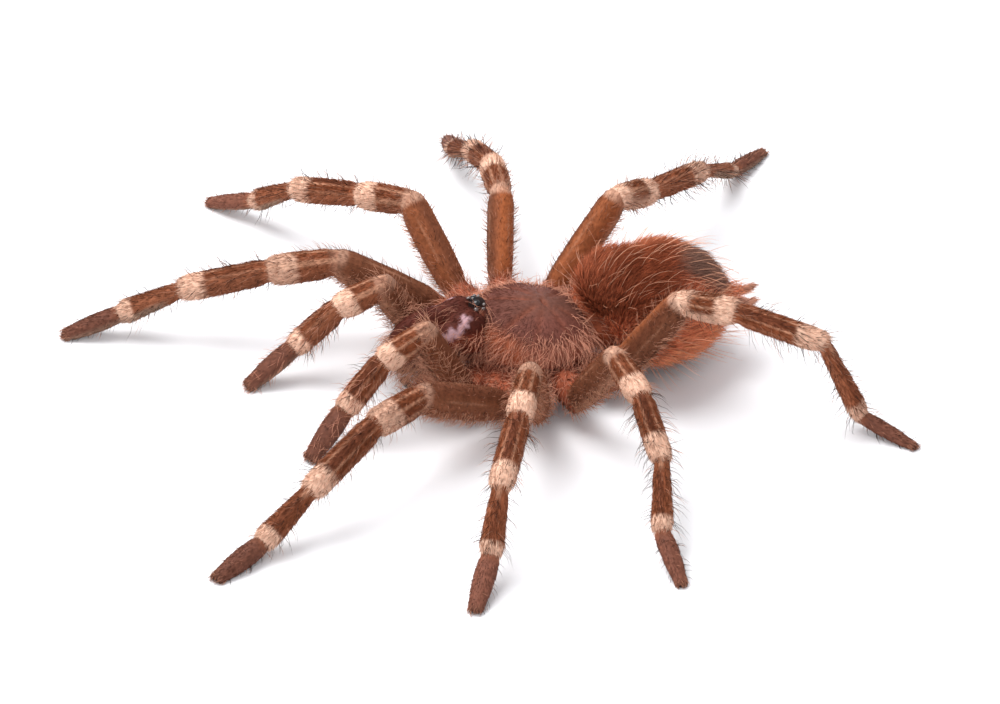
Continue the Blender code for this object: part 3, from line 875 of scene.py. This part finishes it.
class Coat:
    """Gathers hairs of several kinds into one joined mesh of closed, tapering spines.

    They grow on surface; lie and spot give the lie of each root and its place on the unwrap.
    """

    def __init__(self, name, slot, surface, lie, spot):
        self.name, self.slot, self.surface, self.lie, self.spot = name, slot, surface, lie, spot
        self.points, self.faces, self.colours, self.spots = [], [], [], []
        self.count = 0

    def grow(self, number, weight, mess, tint, length, width, rise, spread=0.11, wave=0.0,
             surface=None, lie=None, **shape):
        """Scatters a number of hairs over the surface by weight, and adds them.

        mess is how many degrees they stray from the lie, spread how much their tint varies.
        mess and tint may be rules for each root; a pair of numbers is a range to draw from.
        """
        roots, normals = scatter(surface or self.surface, number, weight)
        colours = tint(roots) if callable(tint) else np.tile(tint, (number, 1))
        lies = stray((lie or self.lie)(roots), normals, mess(roots) if callable(mess) else mess)
        colours = tinted(colours, spread)
        length, width, rise, wave = [
            varied(number, *value) if isinstance(value, tuple) else value
            for value in (length, width, rise, wave)
        ]
        self.add(roots, normals, lies, colours, length, width, rise, wave=wave, **shape)

    def add(self, roots, normals, lies, colours, length, width, rise, fall=0.0, wave=0.0, rings=2,
            tip_shade=1.12):
        """Roots, normals, lies and colours are a row for each hair; the rest may be.

        rise is the lean from the skin in degrees at the root, which halves by the tip; fall
        bends it down and wave sideways, as shares of its length. The colour is painted darker
        at the root and lighter at the tip: painted shade near the skin, painted light on the tip.
        """
        n = len(roots)
        every = [np.broadcast_to(v, n).astype(float) for v in (length, width, rise, fall, wave)]
        length, width, rise, fall, wave = every
        lies = unit(lies - normals * np.sum(lies * normals, axis=1)[:, None])
        side = np.cross(normals, lies)
        place = roots - normals * ROOT_DEPTH
        step = length / rings
        # the colour of each ring is scaled from painted shade at the root to painted light at the tip
        points, spot_at, shade = [], [], []
        for k in range(rings):
            s = (k + 0.5) / rings
            lean = np.radians(rise * (1 - 0.55 * s))
            way = lies * np.cos(lean)[:, None] + normals * np.sin(lean)[:, None]
            way = way + side * (wave * np.cos(2.6 * s + 3 * wave))[:, None]
            way[:, 2] -= fall * s
            way = unit(way)
            across_way = unit(np.cross(way, normals + 1e-6))
            other = np.cross(across_way, way)
            s = k / rings
            reach = width / 2 * (1 - 0.75 * s**1.5)
            for corner in range(3):
                angle = math.tau * corner / 3 + math.pi / 2
                offset = across_way * math.cos(angle) + other * math.sin(angle)
                points.append(place + offset * reach[:, None])
                spot_at.append(((corner - 1) * SPOT / 2, (s - 0.5) * SPOT))
                shade.append(ROOT_PAINTED_SHADE + (tip_shade - ROOT_PAINTED_SHADE) * s)
            place = place + way * step[:, None]
        points = np.stack(points + [place], axis=1)
        spot_at.append((0, SPOT / 2))
        shade.append(tip_shade)
        points[:, :, 2] = np.clip(points[:, :, 2], 0.01, TALLEST)
        spine = [(2, 1, 0)]
        for k in range(rings - 1):
            for corner in range(3):
                a, b = k * 3 + corner, k * 3 + (corner + 1) % 3
                spine += [(a, b, b + 3), (a, b + 3, a + 3)]
        last = (rings - 1) * 3
        spine += [(last + corner, last + (corner + 1) % 3, rings * 3) for corner in range(3)]
        starts = self.count + np.arange(n) * (rings * 3 + 1)
        self.faces.append((starts[:, None, None] + np.array(spine)[None]).reshape(-1, 3))
        self.points.append(points.reshape(-1, 3))
        self.colours.append((colours[:, None] * np.array(shade)[:, None]).reshape(-1, 3))
        spots = np.clip(np.stack(self.spot(roots), axis=1), SPOT, 1 - SPOT)
        self.spots.append((spots[:, None] + np.array(spot_at)).reshape(-1, 2))
        self.count += n * (rings * 3 + 1)

    def finish(self, finish):
        points = np.vstack(self.points) * MM
        faces = np.vstack(self.faces).astype(np.int32)
        mesh = bpy.data.meshes.new(self.name)
        mesh.vertices.add(len(points))
        mesh.vertices.foreach_set("co", points.astype(np.float32).ravel())
        mesh.loops.add(faces.size)
        mesh.loops.foreach_set("vertex_index", faces.ravel())
        mesh.polygons.add(len(faces))
        mesh.polygons.foreach_set("loop_start", np.arange(0, faces.size, 3, dtype=np.int32))
        mesh.update(calc_edges=True)
        mesh.shade_smooth()
        write_colours(mesh, np.clip(np.vstack(self.colours), 0, 1))
        unwrap = mesh.uv_layers.new(name="OFBake")
        unwrap.data.foreach_set("uv", np.vstack(self.spots)[faces.ravel()].astype(np.float32).ravel())
        mesh.materials.append(finish)
        coat = put_in_scene(self.name, mesh)
        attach(coat, "root")


def scatter(surface, number, weight):
    """Random points on a surface, by area times a weight for each triangle: places and normals."""
    a, b, c = (surface.points[surface.tris[:, k]] for k in range(3))
    area = np.linalg.norm(np.cross(b - a, c - a), axis=1) / 2 * weight
    chosen = dice.choice(len(area), number, p=area / area.sum())
    u, v = dice.random(number), dice.random(number)
    over = u + v > 1
    u[over], v[over] = 1 - u[over], 1 - v[over]
    share = np.stack([1 - u - v, u, v], axis=1)[:, :, None]
    corners = surface.tris[chosen]
    places = (surface.points[corners] * share).sum(axis=1)
    return places, unit((surface.normals[corners] * share).sum(axis=1))


def varied(number, low, high):
    return low + (high - low) * dice.random(number)


def stray(lies, normals, degrees):
    """Turns each lie a random few degrees round its normal."""
    turn = np.radians(dice.normal(0, degrees, len(lies)))[:, None]
    return lies * np.cos(turn) + np.cross(normals, lies) * np.sin(turn)


def tinted(colours, spread=0.11):
    """The same colours with each hair a little lighter or darker."""
    return np.clip(colours * (1 + dice.normal(0, spread, len(colours)))[:, None], 0.004, 1)


hair_finish = marked_material("hair", 0.55, 1500.0, 0.06)

BRISTLE_BROWN = np.array((0.055, 0.025, 0.018))
BRISTLE_PALE = np.array((0.42, 0.19, 0.12))
FRINGE_TAN = np.array((0.58, 0.29, 0.19))

# Hairs of each kind on a limb, and the longest bristle in millimetres.
LIMB_HAIRS = by_limb(8700, 8400, 7800, 8700, 5500)
BRISTLES = by_limb(620, 620, 620, 680, 360)
BRISTLE_LENGTH = by_limb(2.1, 2.1, 2.2, 2.5, 1.6)
FRINGE = by_limb(520, 400, 300, 300, 620)
CLAW_TUFT = 70
# How far along a limb, and round it in degrees, the marks of its hair are ruffled.
RUFFLE = (0.03, 4)
# For each part of a limb: share of the short hairs, their length and their lean at the root;
# then the bristles' share of the full length, and the share of them that is pale.
PART_HAIR = {
    "femur": (0.8, 0.42, 11, 0.5, 0.9),
    "patella": (1.0, 0.65, 17, 0.65, 0.8),
    "tibia": (1.0, 0.72, 17, 1.0, 0.35),
    "metatarsus": (1.05, 0.68, 18, 0.9, 0.3),
    "tarsus": (1.0, 0.42, 16, 0.45, 0.45),
}
tri_label = skin_label[skin_surface.tris[:, 0]]
tri_centre = skin_surface.points[skin_surface.tris].mean(axis=1)


def limb_lies(roots, spans):
    """The way down the limb at each root."""
    return np.array([span.direction for span in spans])[limb_place(roots, spans)[0]]


def limb_spots(roots, spans):
    number, share, degrees = limb_place(roots, spans)
    return (number + share) / len(spans), (degrees + 180) / 360


def part_hair(points, spans):
    """The values of PART_HAIR at each point, column by column."""
    return np.array([PART_HAIR[span.part] for span in spans])[limb_place(points, spans)[0]].T


for (limb, side), spans in LIMB_SPANS.items():
    coat = Coat(f"{limb}_{side}_coat", "tarsus", skin_surface,
                lambda roots: limb_lies(roots, spans), lambda roots: limb_spots(roots, spans))
    on_limb = (tri_label == labels.index(f"{limb}_{side}")).astype(float)
    tri_number, tri_share, tri_degrees = limb_place(tri_centre, spans)
    # short coat, with the edges of its markings ruffled
    roots, normals = scatter(skin_surface, LIMB_HAIRS[limb], on_limb * part_hair(tri_centre, spans)[0])
    n = len(roots)
    _, length, rise, _, _ = part_hair(roots, spans)
    lies = stray(limb_lies(roots, spans), normals, 8)
    feather = dice.normal(0, 1, (n, 2)) * RUFFLE
    feather[dice.random(n) < 0.07, 0] -= 0.25
    small = 0.75 if limb == "palp" else 1.0
    coat.add(roots, normals, lies, tinted(limb_colour(roots, limb, side, feather)),
             length * small * varied(n, 0.65, 1.2), varied(n, 0.034, 0.055), rise * varied(n, 0.6, 1.3))
    # bristles
    roots, normals = scatter(skin_surface, BRISTLES[limb], on_limb)
    n = len(roots)
    _, _, _, share, pale = part_hair(roots, spans)
    length = BRISTLE_LENGTH[limb] * varied(n, 0.45, 1.15) * share
    lies = stray(limb_lies(roots, spans), normals, 22)
    tint = np.where((dice.random(n) < pale)[:, None], BRISTLE_PALE, BRISTLE_BROWN)
    coat.add(roots, normals, lies, tinted(tint), length, 0.048, varied(n, 50, 85), fall=0.15)
    # fringe under the thigh, long and curly on the palps
    lowest, curl, longest = (50, 0.9, 2.3) if limb == "palp" else (105, 0.25, 1.25)
    weight = on_limb * (tri_number == 0) * (np.abs(tri_degrees) > lowest)
    coat.grow(FRINGE[limb], weight, mess=25, tint=FRINGE_TAN, length=(0.6, longest), width=0.045,
              rise=(35, 65), wave=(-curl, curl), rings=4)
    if limb == "palp":
        coat.grow(170, on_limb * (tri_number >= 2), mess=45, tint=SOFT_PINK, length=(0.7, 1.5),
                  width=0.04, rise=(20, 45), wave=(-0.6, 0.6), fall=0.5, rings=4)
    weight = on_limb * (tri_number == spans[-1].number) * (tri_share > 0.86)
    coat.grow(CLAW_TUFT, weight, mess=14, tint=BRISTLE_PALE, spread=0.2, length=(0.4, 0.75),
              width=0.045, rise=(10, 35))
    coat.finish(hair_finish)

# abdomen and spinnerets
FUR_PALE = np.array((0.68, 0.33, 0.21))
STREAKED = 0.22


def grown_from(*starts):
    """Which triangles of the skin grew from sources whose names start so."""
    return np.isin(tri_label, [k for k, label in enumerate(labels) if label.startswith(starts)])


def abdomen_lies(roots):
    """Fur of the abdomen is swept to the rear, and up over its front."""
    lift = 0.35 + 2.5 * ease_out(-0.95, -0.35, abdomen_place(roots)[1])
    return unit(abdomen_back + lift[:, None] * (0, 0, 1.0))


def abdomen_spots(roots):
    left, back, up = abdomen_place(roots)
    return np.arctan2(left, back) / math.tau + 0.5, np.arcsin(np.clip(up, -1, 1)) / math.pi + 0.5


def streaky_fur(roots):
    """Colour of the abdomen's fur, with a paler hair here and there."""
    streaks = 1 + 0.55 * (dice.random(len(roots)) < STREAKED)
    return abdomen_colour(roots) * streaks[:, None]


coat = Coat("abdomen_coat", "abdomen", skin_surface, abdomen_lies, abdomen_spots)
weight = np.where(grown_from("abdomen_tip"), 0.3, grown_from("abdomen"))
coat.grow(17000, weight, mess=12, tint=streaky_fur, spread=0.16, length=(0.9, 2.0),
          width=(0.04, 0.065), rise=(20, 42), fall=0.08)
coat.grow(400, weight, mess=16, tint=FUR_PALE, length=(2.4, 4.2), width=(0.045, 0.06),
          rise=(38, 62), wave=(-0.15, 0.15), fall=0.45, rings=4, tip_shade=1.25)
coat.grow(420, grown_from("spinneret"), mess=16, tint=SPINNERET_TAN * 1.4, spread=0.2,
          length=(0.35, 0.7), width=0.04, rise=(15, 40),
          lie=lambda roots: np.tile(abdomen_back, (len(roots), 1)))
coat.finish(hair_finish)

# shield
EYES_CLEAR = 0.85
BROW_CLEAR = 1.05
shield_top = np.array((body_x, shield_mid[1] + PIT_PLACE[1] * shield_half[1], 0.0))


def shield_lies(roots):
    outward = roots - shield_top
    outward[:, 2] = 0
    return unit(unit(outward) + (0, 0, -0.5))


def shield_spots(roots):
    x, y = shield_place(roots)
    return x * 0.47 + 0.5, y * 0.47 + 0.5


coat = Coat("shield_coat", "carapace", shield_surface, shield_lies, shield_spots)
shield_centre = shield_surface.points[shield_surface.tris].mean(axis=1)
eyes_off = np.linalg.norm(shield_centre - eye_mid, axis=1)
weight = (shield_surface.normals[shield_surface.tris[:, 0], 2] > -0.2) * (eyes_off > EYES_CLEAR)
# the crown is almost bare, and what hair it has lies every way
crown = 1 - 0.94 * ease_out(0.2, 0.8, np.hypot(*from_pit(shield_centre)))
coat.grow(6200, weight * crown, length=(0.4, 0.8), width=(0.024, 0.04), rise=(6, 16),
          mess=lambda roots: 62 - 46 * ease_in(0.1, 0.6, np.hypot(*from_pit(roots))),
          tint=lambda roots: shield_colour(roots) * 1.06, spread=0.06)
rim = np.hypot(*shield_place(shield_centre))
coat.grow(1600, weight * ease_in(0.45, 0.98, rim), mess=30, tint=SOFT_PINK, spread=0.2,
          length=(0.9, 2.3), width=(0.035, 0.05), rise=(20, 55), wave=(-0.7, 0.7), fall=0.7,
          rings=4, tip_shade=1.1)
coat.finish(hair_finish)

# hips, underside, waist and jaws
SPOT_RANGE = 12


def body_spots(roots):
    offset = roots - shield_mid
    round_it = np.arctan2(offset[:, 0], offset[:, 1]) / math.tau + 0.5
    return round_it, np.clip(offset[:, 2] / SPOT_RANGE + 0.5, 0, 1)


def outward_lies(roots):
    outward = roots - shield_mid
    outward[:, 2] = -1.0
    return unit(outward)


coat = Coat("underside_coat", "underside", skin_surface, outward_lies, body_spots)
weight = grown_from("underside", "waist", "throat").astype(float)
coat.grow(6500, weight, mess=25, tint=HIP_RED, spread=0.25, length=(0.5, 1.0),
          width=(0.05, 0.07), rise=(20, 45))
weight = weight * (0.25 + ease_in(1.2, 2.8, tri_centre[:, 2])) * (1 + 1.2 * grown_from("throat"))
coat.grow(3900, weight, mess=40, tint=SOFT_PINK * 0.9, spread=0.25, length=(0.9, 2.0),
          width=(0.035, 0.05), rise=(30, 70), wave=(-0.9, 0.9), fall=0.4, rings=4, tip_shade=1.1)
coat.finish(hair_finish)


def jaw_lie(down):
    """The rule for hair that lies forward and somewhat down, over the jaws."""
    return lambda roots: np.tile(unit(np.array((0, -1.0, -down))), (len(roots), 1))


coat = Coat("jaw_coat", "chelicera", skin_surface, jaw_lie(0.5), body_spots)
bare = thin_skin(tri_centre)
weight = grown_from("chelicera") * (1 - bare)
coat.grow(3600, weight, mess=10, tint=jaw_colour, spread=0.15, length=(0.3, 0.55),
          width=(0.03, 0.045), rise=(10, 22))
coat.grow(190, grown_from("chelicera") * (1 - 0.5 * bare), mess=20, tint=SOFT_PINK * 0.8,
          length=(1.2, 2.4), width=0.036, rise=(40, 75), lie=jaw_lie(0.4), wave=(-0.35, 0.35),
          fall=0.9, rings=5, tip_shade=1.1)
low = tri_centre[:, 2] < jaw_mid["left"][2] - 0.3
coat.grow(1250, weight * low, mess=40, tint=FRINGE_TAN * 0.85, spread=0.3, length=(1.3, 3.2),
          width=0.04, rise=(35, 75), lie=jaw_lie(0.9), wave=(-0.9, 0.9), fall=0.7, rings=5)
# fringe of the brow, over the roots of the jaws and clear of the eyes
from_brow = (shield_centre - (body_x, shield_low[1] + 0.4, shield_high[2] - 0.6)) / (2.2, 0.7, 0.8)
brow = (np.linalg.norm(from_brow, axis=1) < 1) & (eyes_off > BROW_CLEAR)
coat.grow(130, brow, mess=28, tint=SOFT_PINK, length=(0.8, 1.7), width=0.04, rise=(15, 40),
          surface=shield_surface, lie=jaw_lie(0.3), wave=(-0.3, 0.3), fall=0.4, rings=4)
coat.finish(hair_finish)


# ---- eyes ----
# Eight glassy lenses set in the dark mound: the front middle pair round and black, the rear
# middle pair pearly and the four at the sides a smoky brown.


def eye_lens(node, size):
    """A smooth lens in place of a faceted one, resized about its own middle."""
    shape = bmesh.new()
    shape.from_mesh(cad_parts[node].data)
    bmesh.ops.remove_doubles(shape, verts=shape.verts, dist=1e-7)
    bmesh.ops.dissolve_limit(shape, angle_limit=math.radians(1), verts=shape.verts, edges=shape.edges)
    centre = sum((v.co for v in shape.verts), Vector()) / len(shape.verts)
    about_centre = Matrix.Translation(-centre)
    bmesh.ops.scale(shape, vec=Vector((size, size, size)), verts=shape.verts, space=about_centre)
    lens = put_in_scene(node + "_lens", mesh_from(shape, node + "_lens"))
    rounding = lens.modifiers.new("rounding", "SUBSURF")
    rounding.levels = rounding.render_levels = 2
    apply_modifiers(lens)
    lens.data.shade_smooth()
    return lens


def clouded_material(name, colour, roughness, shine, scale, amount, glaze=0.0):
    """A material of one colour, unevenly clouded through the mottle, that may be glazed."""
    material, shader = new_material(name, roughness, shine)
    add_mottle(material, shader, scale, amount).inputs["Colour"].default_value = (*colour, 1.0)
    shader.inputs["Coat Weight"].default_value = glaze
    shader.inputs["Coat Roughness"].default_value = 0.03
    return material


black_eye = clouded_material("black_eye", (0.003, 0.003, 0.004), 0.06, 0.45, 6000.0, 0.3)
pearl_eye = clouded_material("pearl_eye", (0.2, 0.17, 0.16), 0.12, 0.5, 7000.0, 0.6, glaze=1.0)
smoky_eye = clouded_material("smoky_eye", (0.06, 0.034, 0.03), 0.1, 0.5, 7000.0, 0.5, glaze=1.0)
# Size against the solid, and finish.
EYES = {
    "front_middle": (1.5, black_eye),
    "front_side": (1.05, smoky_eye),
    "rear_side": (1.05, smoky_eye),
    "rear_middle": (1.2, pearl_eye),
}
for name, (size, finish) in EYES.items():
    for side in SIDES:
        node = f"eye_{name}_{side}"
        lens = eye_lens(node, size)
        lens.data.materials.append(finish)
        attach(lens, "root")
        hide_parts(node)


# ---- fangs ----
# Two black horn hooks folded back under the jaws. The solids keep their shape.

horn = clouded_material("black_horn", (0.013, 0.006, 0.005), 0.3, 0.3, 1800.0, 0.55)
for side in SIDES:
    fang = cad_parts[f"fang_{side}"]
    fang.data.materials.clear()
    fang.data.materials.append(horn)


# ---- claws ----
# Two tiny curved hooks of dark horn at the end of every foot, half hidden in its pad of hair.

CLAW_LENGTH = 0.55
CLAW_GIRTH = 0.13
CLAW_RINGS = 4
CLAW_SIDES = 6
turns = np.arange(CLAW_SIDES) * math.tau / CLAW_SIDES
claws = bmesh.new()
for (limb, side), spans in LIMB_SPANS.items():
    foot = spans[-1]
    for sign in SIDES.values():
        root = foot.end - foot.direction * 0.32 + foot.level * sign * 0.17 + foot.upright * 0.12
        rings = []
        for k in range(CLAW_RINGS + 1):
            s = k / CLAW_RINGS
            lean = math.radians(18 - 75 * s)
            way = foot.direction * math.cos(lean) + foot.upright * math.sin(lean)
            if k:
                root = root + way * CLAW_LENGTH / CLAW_RINGS
            root[2] = max(root[2], 0.09)
            reach = CLAW_GIRTH / 2 * (1 - 0.9 * s**1.5)
            over = np.cross(way, foot.level)
            rim = np.outer(np.cos(turns), foot.level) + np.outer(np.sin(turns), over)
            rings.append(root + rim * reach)
        add_tube(claws, rings)
bmesh.ops.recalc_face_normals(claws, faces=claws.faces)
claw_piece = put_in_scene("claws", mesh_from(claws, "claws"))
claw_piece.data.shade_smooth()
claw_piece.data.materials.append(horn)
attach(claw_piece, "root")
